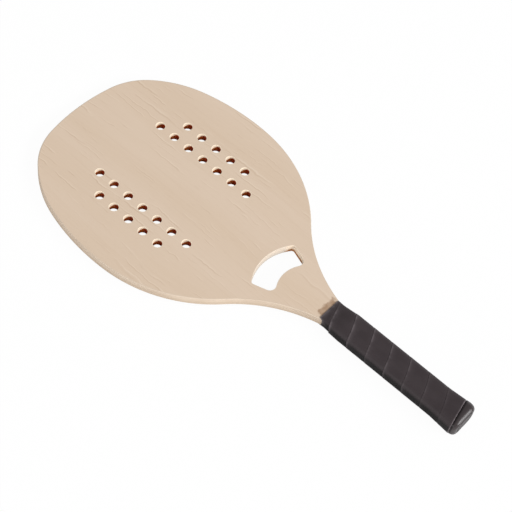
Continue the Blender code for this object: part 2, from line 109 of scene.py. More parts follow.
# Handle core, which the tape and the cap wrap, with its top above the board's middle plane
CORE_TOP = 0.0068
SIDE_HALF = 0.0019
SEAT_CLEARANCE = 0.0003
SKIRT_WALL = 0.001
SKIRT_X = 0.022
END_WALL = 0.0032

# Grip tape, whose seams sway along X once a turn and are steepest at one share of the turn
TAPE_THICKNESS = 0.002
TAPE_SKIVED_THICKNESS = 0.0003
TAPE_TAPER_LENGTH = 0.0225
TAPE_TAPER_POWER = 1.5
TAPE_SEAT_RAMP_LENGTH = 0.018
TAPE_SIDE_SETBACK = 0.0032
TAPE_PITCH = 0.0198
TAPE_OVERLAP = 0.0018
TAPE_TURNS_AT_MOST = 10
TAPE_LEAST_WIDTH = 0.0015
FIRST_SEAM_BEHIND_GRIP = 0.0062
SEAM_SWAY = 0.95
SEAM_STEEPEST_AT = -0.096
TAPE_END_X = 0.0078
TAPE_END_SLANT = 0.2
TAPE_FLARE = 0.0014
TAPE_FLARE_START_X = 0.026
TAPE_FLARE_END_X = 0.006
TAPE_CLIMB_LENGTH = 0.008

# Raised front edge of the tape's strip, its profile in shares of the lip by distance behind the edge
TAPE_LIP = 0.0001
LIP_PROFILE = ((0, -0.4), (0.00006, 0.3), (0.00018, 0.8), (0.0004, 1), (0.001, 0.9), (0.004, 0.5),
               (0.0106, 0.1), (0.015, 0))
LIP_AT_BUTT = 0.22
LAP_LENGTH = 0.0022
LAP_LIFT_SHARE = 0.9

# Rear edge of the strip, its drop by distance from the cut, and its tuck under the next turn
CUT_DROP = ((0, 0.00025), (0.00008, 0.0001), (0.00025, 0.00003), (0.0006, 0))
TUCK_DEPTH = 0.0006
TUCK_START = 0.0001
TUCK_LENGTH = 0.0012

# How far the first whole turn stands out on the +Y side, by its seam's distance behind the grip's front
FIRST_STEP = ((0.006, 0), (0.01, 0.0006), (0.015, 0.0006), (0.021, 0))
FIRST_STEP_LENGTH = 0.012

# How strongly the tape's edges are lightened by wear and by a painted highlight, by distance behind a front
# edge, and how much of that is left at the butt
WEAR_AND_HIGHLIGHT_FADE = ((0, 0.5), (0.0009, 0.5), (0.0018, 0.17), (0.005, 0))
WEAR_AND_HIGHLIGHT_AT_BUTT = 0.06
WEAR_AND_HIGHLIGHT_REAR_LENGTH = 0.0012

# Butt cap and its end plate
CAP_PROUD_OF_TAPE = 0.0001
CAP_CREVICE = 0.0006
CAP_CREVICE_DEPTH = 0.0004
CAP_CREVICE_LEAN = 0.00005
CAP_SHOULDER_DROP = 0.0005
CAP_SHOULDER_LENGTH = 0.004
CAP_DOME_LENGTH = 0.006
CAP_DOME_DROP = 0.0026
CAP_DOME_POWER = 2.3
CAP_LIP = 0.0002
CAP_END_SIDE_HALF = SIDE_HALF + 0.0012
CAP_EDGE_LENGTH = 0.006
CAP_EDGE_ROUNDING = 0.005
PLATE_RIM = 0.0013
PLATE_THICKNESS = 0.0009
PLATE_GAP = 0.00045
PLATE_BEDDING = 0.0003
PLATE_BEVEL = 0.0005

# How finely curves are drawn
OUTLINE_SAG = 0.00002
SLOT_SAG = 0.00001
HOLE_SIDES = 40
ROUNDING_STEPS = 7
FLAT_BAND = 0.0002
HANDLE_CORNER_STEPS = 12
HANDLE_FLAT_STEPS = 6
HANDLE_SIDE_STEPS = 4
CAP_EDGE_STEPS = 14
PLATE_BEVEL_STEPS = 4
SHARP_ANGLE = 40
TAPE_SHARP_ANGLE = 50

# Columns of points across the tape's strip, by distance from its front edge or its rear edge
FRONT_COLUMNS = (0.0106, 0.007, 0.004, 0.002, 0.001, 0.0007, 0.0004, 0.00018, 0.00006, 0)
REAR_COLUMNS = (0, 0.00008, 0.00025, 0.0006, 0.0012)
MIDDLE_COLUMNS = 3
MIDDLE_LEAST_WIDTH = 0.001

# Which of the strip's columns its inside has points at too
INSIDE_COLUMNS = (-1, -4, -8, len(REAR_COLUMNS), 0)

NECK_RUN = -TANG_BLEND_RADIUS * math.cos(math.radians(NECK_HEADING))
TANG_HALF_WIDTH = NECK_HALF_WIDTH - TANG_BLEND_RADIUS * (1 - math.sin(math.radians(NECK_HEADING)))
SKIRT_WIDTH = TANG_HALF_WIDTH + SEAT_CLEARANCE + SKIRT_WALL
SKIRT_THICKNESS = CORE_TOP + SEAT_CLEARANCE + SKIRT_WALL

# In the finishes tones are screen colours from 0 to 255, and grains are features per metre along each
# axis. A pair of lengths says where a mark begins to change and where the change ends.

# Veneer of the faces
WANDER_GRAIN = (5, 11, 11)
VENEER_WANDER = 0.02
RIPPLE_GRAIN = (110, 70, 70)
RIPPLE = 0.0045
BAND_GRAIN = (2.2, 26, 26)
BAND_TONES = ((217, 195, 172), (221, 200, 179))
STREAK_GRAIN = (14, 520, 520)
STREAK_TONE = (190, 162, 134)
PORE_GRAIN = (110, 2600, 2600)
PORE_TONE = (170, 142, 112)
FIBRE_GRAIN = (30, 1500, 1500)
FIBRE_TONE = (226, 207, 187)

# Growth lines of two sorts, as (lines per metre, dark line to its painted highlight line, grain of the gaps,
# rarity)
LINE_SORTS = ((110, 0.0011, (19, 62, 62), 0.48), (190, 0.0009, (30, 95, 95), 0.55))
LINE_SORT_SHIFT = {"x": 0.31, "z": 0.47}
LINE_FIELD_GRAIN = (3.2, 36, 36)
LINE_FIELD_SWING = 4
LINE_WIDTH_SHARE = 0.1
LINE_DARK_TONE = (186, 158, 130)
LINE_HIGHLIGHT_TONE = (234, 216, 196)
CALM_THROAT = (GRIP_FRONT_X, GRIP_FRONT_X + 0.09)

# Tan darkening of the veneer just ahead of the grip
RAGGED_GRAIN = (150, 150, 150)
THROAT_DARK_RAGGED = 0.0012
BLOTCH_GRAIN = (300, 160, 160)
THROAT_DARK_AHEAD_OF_GRIP = (0.0047, 0.0067)
THROAT_DARK_ASIDE = (0.0085, 0.0118)
THROAT_DARK_OFF_AXIS = 0.0008
THROAT_DARK_TONE = (167, 137, 111)

# Sanded edge of the plies
EDGE_LAYER_GRAIN = (25, 25, 1100)
EDGE_LAYER_TONE = (194, 172, 149)
EDGE_PATCH_GRAIN = (60, 60, 120)
EDGE_TONES = ((206, 187, 167), (213, 195, 175))
EDGE_SPECK_GRAIN = (1900, 1900, 1900)
EDGE_SPECK_TONE = (166, 140, 112)
EDGE_LOW_SHADE_HEIGHTS = (-0.0025, 0.002)
EDGE_LOW_SHADE_TONE = (186, 166, 144)
EDGE_ARRIS_HIGHLIGHT_HEIGHTS = (0.0031, 0.0039)
EDGE_ARRIS_HIGHLIGHT_TONE = (236, 220, 202)

# Wall of the slot, with painted shade greying it deeper down and browning it low down along the last stretch
# towards its -Y end, and painted light paling that end
SLOT_LAYER_GRAIN = (60, 60, 1500)
SLOT_TONES = ((226, 211, 194), (232, 218, 202))
SLOT_SHADE_DEPTHS = (0.002, 0.008)
SLOT_DEEP_SHADE_TONE = (206, 197, 186)
SLOT_END_LIGHT_ASIDE = (0.021, 0.0235)
SLOT_END_LIGHT_TONE = (242, 224, 203)
BROWN_UNEVEN_GRAIN = (260, 260, 260)
BROWN_UNEVEN = 0.0004
BROWN_RISE_ASIDE = (0.0205, 0.0245)
BROWN_RISE_DEPTHS = (0.008, 0.0052)
BROWN_BELOW = (-0.0006, 0.0008)
BROWN_ASIDE = (0.0198, 0.0215)
BROWN_SHADE_TONE = (176, 122, 78)

# Walls of the air holes: scorched wood with painted light and shade, scorched lower and paler on the side
# that faces the key lamp
SCORCH_AND_SHADE_UNEVEN_GRAIN = (500, 500, 160)
SCORCH_AND_SHADE_UNEVEN = 0.0003
SCORCH_AND_SHADE_LOWER_BY = 0.003
SCORCH_AND_SHADE_DEPTHS = (0.0008, 0.0015)
RING_GRAIN = (120, 120, 3000)
HOLE_CLEAN_TONES = ((246, 230, 206), (250, 236, 214))
HOLE_BURNT_SHADED_TONES = ((144, 46, 8), (172, 68, 16))
HOLE_BURNT_LIT_TONES = ((208, 116, 46), (224, 134, 60))

# Hidden timber and steel
TIMBER_WANDER = 0.004
TIMBER_GRAIN = (14, 420, 420)
TIMBER_TONES = ((196, 168, 134), (214, 188, 156))
STEEL_GRAIN = (4000, 300, 4000)
STEEL_TONES = ((170, 170, 172), (204, 204, 206))

# Leather of the tape
MOTTLE_GRAIN = (70, 110, 110)
PEBBLES_PER_METRE = 2600
LEATHER_GRAIN = (2200, 2200, 2200)
LEATHER_TONES = ((58, 51, 53), (62, 55, 57))
LEATHER_SIDE_SHADE_HEIGHTS = (0.002, 0.0058)
LEATHER_SIDE_SHADE_TONE = (18, 15, 16)
WEAR_AND_HIGHLIGHT_GRAIN = (160, 200, 200)
WEAR_AND_HIGHLIGHT_TONE = (128, 119, 122)

# Plastic of the cap and the plate, and the painted shade along the cap's crevice and in the gap round the
# plate
CAP_TONES = ((45, 37, 38), (49, 41, 42))
PLATE_TONES = ((45, 39, 39), (50, 43, 43))
CLOUD_GRAIN = (90, 90, 90)
SPARK_GRAIN = (3000, 3000, 3000)
SCUFF_GRAIN = (260, 900, 260)
SCUFF_TONE = (92, 84, 84)
CREVICE_SHADE_REACH = 0.0022
CREVICE_SHADE_TONE = (22, 18, 19)
GAP_SHADE_GRAIN = (900, 900, 900)
GAP_SHADE_TONES = ((14, 12, 12), (24, 20, 20))


# Node helpers

def linear(colour):
    """A screen colour from 0 to 255 as the four linear values that a socket takes."""
    shares = [value / 255 for value in colour]
    return (*[s / 12.92 if s <= 0.04045 else ((s + 0.055) / 1.055) ** 2.4 for s in shares], 1.0)


def add_node(tree, kind, inputs=None, **settings):
    """A node with its settings, and its inputs given as values or as sockets to link."""
    node = tree.nodes.new(kind)
    for name, value in settings.items():
        setattr(node, name, value)
    for name, value in (inputs or {}).items():
        if isinstance(value, bpy.types.NodeSocket):
            tree.links.new(value, node.inputs[name])
        else:
            node.inputs[name].default_value = value
    return node


def socket_of(tree, kind, inputs=None, output=0, **settings):
    """An output socket of a new node."""
    return add_node(tree, kind, inputs, **settings).outputs[output]


def calc(tree, operation, first, second=0):
    return socket_of(tree, "ShaderNodeMath", {0: first, 1: second}, operation=operation)


def plus(tree, first, second):
    return calc(tree, "ADD", first, second)


def minus(tree, first, second):
    return calc(tree, "SUBTRACT", first, second)


def times(tree, first, second):
    return calc(tree, "MULTIPLY", first, second)


def ramp(tree, value, low, high, start=0, end=1):
    """The value eased from start to end while it goes from low to high."""
    inputs = {"Value": value, "From Min": low, "From Max": high, "To Min": start, "To Max": end}
    return socket_of(tree, "ShaderNodeMapRange", inputs, interpolation_type="SMOOTHSTEP")


def mix(tree, share, first, second):
    """A share of the way from the first tone to the second, each a screen colour or a socket."""
    inputs = {0: share}
    for index, tone in ((6, first), (7, second)):
        inputs[index] = tone if isinstance(tone, bpy.types.NodeSocket) else linear(tone)
    return socket_of(tree, "ShaderNodeMix", inputs, 2, data_type="RGBA")


def mark(tree, tone, where, strength, colour):
    """The tone with a mark over it in another colour, at the given strength."""
    return mix(tree, times(tree, where, strength), tone, colour)


def noise(tree, place, grain, detail=2, roughness=0.5):
    """Cloudy noise with as many features per metre along each axis as the grain says."""
    stretched = socket_of(tree, "ShaderNodeVectorMath", {0: place, 1: grain}, operation="MULTIPLY")
    inputs = {"Vector": stretched, "Scale": 1, "Detail": detail, "Roughness": roughness}
    return socket_of(tree, "ShaderNodeTexNoise", inputs, "Fac")


def object_place(tree):
    return socket_of(tree, "ShaderNodeTexCoord", output="Object")


def axis_of(tree, place, axis):
    return socket_of(tree, "ShaderNodeSeparateXYZ", {0: place}, axis)


def painted_value(tree, name):
    return socket_of(tree, "ShaderNodeAttribute", output="Fac", attribute_name=name)


def shifted(tree, place, x=0, y=0, z=0):
    """The place moved by a length along each axis."""
    move = socket_of(tree, "ShaderNodeCombineXYZ", {"X": x, "Y": y, "Z": z})
    return socket_of(tree, "ShaderNodeVectorMath", {0: place, 1: move}, operation="ADD")


def swayed(tree, place, grain, reach):
    """The place moved to and fro along Y by a noise, over the given reach in all."""
    sway = minus(tree, noise(tree, place, grain), 0.5)
    return shifted(tree, place, y=times(tree, sway, reach))


def new_finish(name, roughness, specular=0.5, metallic=0):
    """A material with the values that are the same all over, its tree, and its place as a socket."""
    material = bpy.data.materials.new(name)
    material.use_nodes = True
    tree = material.node_tree
    values = {"Roughness": roughness, "Specular IOR Level": specular, "Metallic": metallic}
    for value_name, value in values.items():
        tree.nodes["Principled BSDF"].inputs[value_name].default_value = value
    return material, tree, object_place(tree)


def feed(tree, name, value):
    """Links a value that varies over the surface to the named input of the material's shader."""
    tree.links.new(value, tree.nodes["Principled BSDF"].inputs[name])


def colour_and_bump(tree, tone, height, distance, strength):
    """Gives the material its tone and a relief that follows the height."""
    inputs = {"Height": height, "Distance": distance, "Strength": strength}
    feed(tree, "Base Color", tone)
    feed(tree, "Normal", socket_of(tree, "ShaderNodeBump", inputs))


# Finishes

def growth_lines(tree, place, per_metre):
    """Thin wavy lines along X, their spacing varied by a stretched noise."""
    field = noise(tree, place, LINE_FIELD_GRAIN, roughness=0.45)
    level = times(tree, axis_of(tree, place, "Y"), per_metre)
    level = plus(tree, level, times(tree, field, LINE_FIELD_SWING))
    offset = calc(tree, "ABSOLUTE", minus(tree, calc(tree, "FRACT", level), 0.5))
    return ramp(tree, offset, 0, LINE_WIDTH_SHARE, 1, 0)


def line_pairs(tree, place, tone, per_metre, beside, gap_grain, rarity):
    """Broken growth lines over the tone, calmer in the throat, each with a paler painted highlight line
    beside it, as if its relief caught the light.
    """
    broken = ramp(tree, noise(tree, place, gap_grain, 3, 0.6), rarity, rarity + 0.14)
    calm = ramp(tree, axis_of(tree, object_place(tree), "X"), *CALM_THROAT, 0.45, 1)
    broken = times(tree, broken, calm)
    # Painted highlight: the paler line beside each dark growth line stands in for the lit flank of its
    # relief.
    for aside, strength, colour in ((0, 0.43, LINE_DARK_TONE), (beside, 0.5, LINE_HIGHLIGHT_TONE)):
        lines = growth_lines(tree, shifted(tree, place, y=aside), per_metre)
        tone = mark(tree, tone, times(tree, lines, broken), strength, colour)
    return tone


def face_veneer():
    """Pale varnished veneer: broad bands, broken wavy growth lines with painted highlight lines beside them,
    short pores and a tan darkening just ahead of the grip.
    """
    material, tree, place = new_finish("face_veneer", roughness=0.6, specular=0.15)
    place = swayed(tree, place, WANDER_GRAIN, VENEER_WANDER)
    rippled = swayed(tree, place, RIPPLE_GRAIN, RIPPLE)
    elsewhere = shifted(tree, rippled, **LINE_SORT_SHIFT)
    bands = noise(tree, place, BAND_GRAIN, 3)
    streaks = ramp(tree, noise(tree, place, STREAK_GRAIN, 3, 0.6), 0.5, 0.75)
    pores = ramp(tree, noise(tree, place, PORE_GRAIN), 0.62, 0.8)
    fibres = noise(tree, place, FIBRE_GRAIN, roughness=0.6)
    tone = mix(tree, ramp(tree, bands, 0.3, 0.7), *BAND_TONES)
    for sort, spot in zip(LINE_SORTS, (rippled, elsewhere)):
        tone = line_pairs(tree, spot, tone, *sort)
    tone = mark(tree, tone, streaks, 0.1, STREAK_TONE)
    tone = mark(tree, tone, pores, 0.22, PORE_TONE)
    tone = mark(tree, tone, ramp(tree, fibres, 0.3, 0.7), 0.14, FIBRE_TONE)
    # Tan darkening just ahead of the grip.
    tone = mark(tree, tone, darkened_throat(tree), 0.95, THROAT_DARK_TONE)
    feed(tree, "Roughness", ramp(tree, fibres, 0.3, 0.7, 0.55, 0.65))
    height = minus(tree, fibres, times(tree, pores, 1.5))
    colour_and_bump(tree, tone, height, distance=0.00003, strength=0.6)
    return material


def darkened_throat(tree):
    """How strongly the veneer is darkened to tan just ahead of the grip, with a ragged blotchy border."""
    place = object_place(tree)
    ragged = noise(tree, place, RAGGED_GRAIN, 3)
    ragged = ramp(tree, ragged, 0.3, 0.7, -THROAT_DARK_RAGGED, THROAT_DARK_RAGGED)
    blotches = ramp(tree, noise(tree, place, BLOTCH_GRAIN, 3), 0.35, 0.62, 0.8, 1)
    ahead = minus(tree, axis_of(tree, place, "X"), GRIP_FRONT_X)
    ahead = ramp(tree, plus(tree, ahead, ragged), *THROAT_DARK_AHEAD_OF_GRIP, 1, 0)
    aside = calc(tree, "ABSOLUTE", plus(tree, axis_of(tree, place, "Y"), THROAT_DARK_OFF_AXIS))
    aside = ramp(tree, plus(tree, aside, ragged), *THROAT_DARK_ASIDE, 1, 0)
    return times(tree, times(tree, ahead, blotches), aside)


def sanded_edge():
    """Bare sanded edge of the plies, with fine layers, soft patches of end grain, painted shade low down and
    a painted highlight along the arris.
    """
    material, tree, place = new_finish("sanded_edge", roughness=0.6, specular=0.15)
    height = axis_of(tree, place, "Z")
    layers = noise(tree, place, EDGE_LAYER_GRAIN)
    patches = noise(tree, place, EDGE_PATCH_GRAIN, 3)
    specks = ramp(tree, noise(tree, place, EDGE_SPECK_GRAIN, 1), 0.6, 0.75)
    tone = mix(tree, ramp(tree, patches, 0.3, 0.7), *EDGE_TONES)
    tone = mark(tree, tone, ramp(tree, layers, 0.45, 0.65), 0.3, EDGE_LAYER_TONE)
    # Painted shade: the edge is darker towards the bottom, where less light reaches it.
    lower = ramp(tree, height, *EDGE_LOW_SHADE_HEIGHTS, 1, 0)
    tone = mark(tree, tone, lower, 0.5, EDGE_LOW_SHADE_TONE)
    # Painted highlight: the upper and lower arris are paler, as if they caught more light.
    arris_highlight = ramp(tree, calc(tree, "ABSOLUTE", height), *EDGE_ARRIS_HIGHLIGHT_HEIGHTS)
    tone = mark(tree, tone, arris_highlight, 0.12, EDGE_ARRIS_HIGHLIGHT_TONE)
    tone = mark(tree, tone, specks, 0.05, EDGE_SPECK_TONE)
    colour_and_bump(tree, tone, layers, distance=0.00002, strength=0.1)
    return material


def slot_wall():
    """Routed wall of the throat slot: pale, with painted shade that greys it deeper down and browns it low
    down towards its -Y end, and painted light that makes that end paler.
    """
    material, tree, place = new_finish("slot_wall", roughness=0.6, specular=0.15)
    aside = times(tree, axis_of(tree, place, "Y"), -1)
    depth = minus(tree, BOARD_TOP, axis_of(tree, place, "Z"))
    layers = noise(tree, place, SLOT_LAYER_GRAIN)
    uneven = ramp(tree, noise(tree, place, BROWN_UNEVEN_GRAIN), 0.3, 0.7, -BROWN_UNEVEN, BROWN_UNEVEN)
    tone = mix(tree, ramp(tree, layers, 0.35, 0.65), *SLOT_TONES)
    # Painted shade: the wall turns greyer and darker deeper down the slot.
    tone = mix(tree, ramp(tree, depth, *SLOT_SHADE_DEPTHS), tone, SLOT_DEEP_SHADE_TONE)
    # Painted light: the wall is paler towards the slot's -Y end, which the lamps hardly reach.
    tone = mix(tree, ramp(tree, aside, *SLOT_END_LIGHT_ASIDE), tone, SLOT_END_LIGHT_TONE)
    # The painted brown shade starts deep down on the arc and rises towards the end of the slot.
    start = ramp(tree, plus(tree, aside, uneven), *BROWN_RISE_ASIDE, *BROWN_RISE_DEPTHS)
    below = minus(tree, plus(tree, depth, uneven), start)
    brown_shade = times(tree, ramp(tree, below, *BROWN_BELOW), ramp(tree, aside, *BROWN_ASIDE))
    tone = mix(tree, brown_shade, tone, BROWN_SHADE_TONE)
    colour_and_bump(tree, tone, layers, distance=0.00002, strength=0.3)
    return material


def drilled_wall():
    """Wall of an air hole: clean wood at the top and scorched wood below, with painted light and shade: the
    scorch starts lower and is paler on the side facing the key lamp.
    """
    material, tree, place = new_finish("drilled_wall", roughness=0.6, specular=0.25)
    side = painted_value(tree, "lamp_facing")
    uneven = noise(tree, place, SCORCH_AND_SHADE_UNEVEN_GRAIN)
    depth = minus(tree, BOARD_TOP, axis_of(tree, place, "Z"))
    depth = plus(tree, depth, ramp(tree, uneven, 0.2, 0.8, -SCORCH_AND_SHADE_UNEVEN, SCORCH_AND_SHADE_UNEVEN))
    # Painted light and shade: the scorch starts lower on the side that faces the key lamp, where the lamp
    # lights the wall.
    depth = minus(tree, depth, ramp(tree, side, -0.6, 1, 0, SCORCH_AND_SHADE_LOWER_BY))
    rings = noise(tree, place, RING_GRAIN)
    clean = mix(tree, rings, *HOLE_CLEAN_TONES)
    burnt_shaded = mix(tree, rings, *HOLE_BURNT_SHADED_TONES)
    burnt_lit = mix(tree, rings, *HOLE_BURNT_LIT_TONES)
    # Painted light: the scorch is paler on the side facing the key lamp and darkest on the side in its
    # shadow.
    scorched_and_shaded = mix(tree, ramp(tree, side, -0.1, 0.7), burnt_shaded, burnt_lit)
    tone = mix(tree, ramp(tree, depth, *SCORCH_AND_SHADE_DEPTHS), clean, scorched_and_shaded)
    colour_and_bump(tree, tone, rings, distance=0.00003, strength=0.5)
    return material


def cheek_timber():
    """Sanded timber of the hidden handle cheeks."""
    material, tree, place = new_finish("cheek_timber", roughness=0.6, specular=0.3)
    place = swayed(tree, place, WANDER_GRAIN, TIMBER_WANDER)
    streaks = noise(tree, place, TIMBER_GRAIN, 3)
    tone = mix(tree, ramp(tree, streaks, 0.35, 0.65), *TIMBER_TONES)
    colour_and_bump(tree, tone, streaks, distance=0.00005, strength=0.5)
    return material


def tape_leather():
    """Dark satin grip tape: fine pebbled grain, soft mottling, painted shade on its sides, and edges
    lightened by wear and a painted highlight.
    """
    material, tree, place = new_finish("grip_tape_leather", roughness=0.55, specular=0.15)
    mottle = noise(tree, place, MOTTLE_GRAIN, 3)
    inputs = {"Vector": place, "Scale": PEBBLES_PER_METRE}
    pebbles = socket_of(tree, "ShaderNodeTexVoronoi", inputs, "Distance")
    tone = mix(tree, ramp(tree, mottle, 0.3, 0.7), *LEATHER_TONES)
    # Painted shade: the sides are darker than the faces.
    height = calc(tree, "ABSOLUTE", axis_of(tree, place, "Z"))
    side_shade = ramp(tree, height, *LEATHER_SIDE_SHADE_HEIGHTS, 1, 0)
    tone = mix(tree, side_shade, tone, LEATHER_SIDE_SHADE_TONE)
    # Wear and painted highlight: the edges of each turn are lightened, partly by rubbing and partly standing
    # in for the light their raised lips catch.
    patchy = ramp(tree, noise(tree, place, WEAR_AND_HIGHLIGHT_GRAIN, 3), 0.38, 0.6, 0.4, 1)
    worn_and_highlit = times(tree, painted_value(tree, "wear_and_highlight"), patchy)
    tone = mix(tree, worn_and_highlit, tone, WEAR_AND_HIGHLIGHT_TONE)
    feed(tree, "Roughness", ramp(tree, mottle, 0.3, 0.7, 0.46, 0.56))
    grain = times(tree, noise(tree, place, LEATHER_GRAIN), 0.5)
    relief = plus(tree, pebbles, grain)
    colour_and_bump(tree, tone, relief, distance=0.00004, strength=0.3)
    return material


def moulded_plastic(name, tones, roughness):
    """Satin moulded plastic with a fine spark texture, a few faint scuffs, and painted shade along the
    crevice where the tape ends.
    """
    material, tree, place = new_finish(name, roughness)
    cloud = noise(tree, place, CLOUD_GRAIN, 3)
    spark = noise(tree, place, SPARK_GRAIN)
    scuffs = ramp(tree, noise(tree, place, SCUFF_GRAIN), 0.64, 0.74)
    tone = mix(tree, ramp(tree, cloud, 0.3, 0.7), *tones)
    tone = mark(tree, tone, scuffs, 0.1, SCUFF_TONE)
    # Painted shade darkens the plastic along the crevice where the tape ends, and its reflection is turned
    # down there too.
    lean = times(tree, axis_of(tree, place, "Y"), TAPE_END_SLANT)
    crevice = minus(tree, TAPE_END_X - CAP_CREVICE, lean)
    clear = minus(tree, crevice, axis_of(tree, place, "X"))
    painted_shade = ramp(tree, clear, 0, CREVICE_SHADE_REACH, 0.8, 0)
    tone = mix(tree, painted_shade, tone, CREVICE_SHADE_TONE)
    feed(tree, "Specular IOR Level", ramp(tree, painted_shade, 0, 0.8, 0.5, 0.15))
    feed(tree, "Roughness", ramp(tree, cloud, 0.3, 0.7, roughness - 0.01, roughness + 0.02))
    colour_and_bump(tree, tone, spark, distance=0.00001, strength=0.2)
    return material


def painted_crease_shade():
    """Painted shade: a dark matte fill in the gap round the end plate and in the cap's recess, where shade
    falls.
    """
    material, tree, place = new_finish("painted_crease_shade", roughness=0.9, specular=0.05)
    feed(tree, "Base Color", mix(tree, noise(tree, place, GAP_SHADE_GRAIN), *GAP_SHADE_TONES))
    return material


def drawn_steel():
    """Drawn staple wire."""
    material, tree, place = new_finish("drawn_steel", roughness=0.3, metallic=1)
    feed(tree, "Base Color", mix(tree, noise(tree, place, STEEL_GRAIN), *STEEL_TONES))
    return material


# Mesh helpers

def bridge(bm, rows, material_index=0):
    """Joins each closed ring of vertices to the next one with four-sided faces."""
    for first, second in zip(rows, rows[1:]):
        for i in range(len(first)):
            j = (i + 1) % len(first)
            bm.faces.new((first[i], first[j], second[j], second[i])).material_index = material_index


def put_in_scene(name, data):
    thing = bpy.data.objects.new(name, data)
    bpy.context.scene.collection.objects.link(thing)
    return thing


def finish_piece(name, bm, finishes, sharp_angle=SHARP_ANGLE):
    """A mesh under construction as a smooth-shaded piece with outward faces."""
    bmesh.ops.recalc_face_normals(bm, faces=bm.faces[:])
    mesh = bpy.data.meshes.new(name)
    bm.to_mesh(mesh)
    bm.free()
    mesh.shade_smooth()
    mesh.set_sharp_from_angle(angle=math.radians(sharp_angle))
    for finish in finishes:
        mesh.materials.append(finish)
    return put_in_scene(name, mesh)


def arc_steps(radius, turn, sag):
    """How many straight steps an arc takes so that none leaves it by more than the sag."""
    return max(2, math.ceil(abs(turn) / (2 * math.acos(1 - sag / radius))))


# Board

def outline_arcs():
    """The outline's arcs as (radius, end heading); a hollow arc has a negative radius."""
    arcs = [(radius, math.radians(end)) for radius, end in TIP_ARCS]
    reach = 0.0
    heading = 0.0
    for radius, end in arcs:
        reach += radius * (math.sin(end) - math.sin(heading))
        heading = end
    neck = math.radians(NECK_HEADING)
    # The flank arc turns until the hollow throat arc after it meets the neck's width and heading.
    rise = NECK_HALF_WIDTH - reach + FLANK_RADIUS * math.sin(heading) + THROAT_RADIUS * math.sin(neck)
    flank_end = math.pi - math.asin(rise / (FLANK_RADIUS + THROAT_RADIUS))
    return [*arcs, (FLANK_RADIUS, flank_end), (-THROAT_RADIUS, neck), (-TANG_BLEND_RADIUS, math.pi / 2)]


def half_outline():
    """Points (x, y, heading) of the +Y side from the tip to the tang."""
    points = [(0.0, 0.0, 0.0)]
    neck_x = 0.0
    for radius, end in outline_arcs():
        x, y, heading = points[-1]
        steps = arc_steps(abs(radius), end - heading, OUTLINE_SAG)
        for step in range(1, steps + 1):
            turned = heading + (end - heading) * step / steps
            across = x + radius * (math.cos(turned) - math.cos(heading))
            points.append((across, y + radius * (math.sin(turned) - math.sin(heading)), turned))
        if radius == -THROAT_RADIUS:
            neck_x = points[-1][0]
    return [(x - neck_x + GRIP_FRONT_X, y, heading) for x, y, heading in points]


OUTLINE = half_outline()
TIP_X = OUTLINE[0][0]


def edge_inset(z, rounding):
    """How far a rounded edge is drawn in at a height in the board."""
    above = max(0, abs(z) - (BOARD_TOP - rounding))
    return rounding - math.sqrt(max(0, rounding**2 - above**2))


def outline_ring(z, extra=0):
    """The whole outline as a ring, drawn in by its rounding and by the extra all round."""
    inset = edge_inset(z, SANDED_ROUNDING) + extra
    side = [(x - inset * math.cos(h), y - inset * math.sin(h)) for x, y, h in OUTLINE]
    side[0] = (TIP_X - inset, 0.0)
    side.append((TANG_END_X + inset, TANG_HALF_WIDTH - inset))
    mirrored = [(x, -y) for x, y in reversed(side[1:])]
    return [(x, y, z) for x, y in side + mirrored]


def hole_centres():
    """Centres of the air holes: a long row inside and a short row outside in each group."""
    for side in (-1, 1):
        for row, count in enumerate(HOLES_PER_ROW):
            y = side * (INNER_ROW_FROM_AXIS + row * HOLE_PITCH)
            for index in range(count):
                yield TIP_X - HOLE_CENTRE_FROM_TIP + (index - (count - 1) / 2) * HOLE_PITCH, y


def circle_ring(centre, radius, z):
    angles = [math.tau * side / HOLE_SIDES for side in range(HOLE_SIDES)]
    return [(centre[0] + radius * math.cos(a), centre[1] + radius * math.sin(a), z) for a in angles]


def fillet_centre(arc_x, arc_radius, line_offset):
    """Where a circle round (arc_x, 0) meets the slot's end line moved inwards by the offset."""
    slant = math.radians(SLOT_END_SLANT)
    foot_x = GRIP_FRONT_X + SLOT_END_AHEAD_OF_GRIP + line_offset * math.sin(slant) - arc_x
    foot_y = SLOT_END_HALF_WIDTH - line_offset * math.cos(slant)
    towards = foot_x * math.cos(slant) + foot_y * math.sin(slant)
    shift = math.sqrt(towards**2 - foot_x**2 - foot_y**2 + arc_radius**2) - towards
    return arc_x + foot_x + shift * math.cos(slant), foot_y + shift * math.sin(slant)


def arc_points(centre, radius, base_radius, start, end):
    """Points along an arc, as many as the arc of the base radius needs."""
    steps = arc_steps(base_radius, end - start, SLOT_SAG)
    angles = [start + (end - start) * step / steps for step in range(steps + 1)]
    return [(centre[0] + radius * math.cos(a), centre[1] + radius * math.sin(a)) for a in angles]


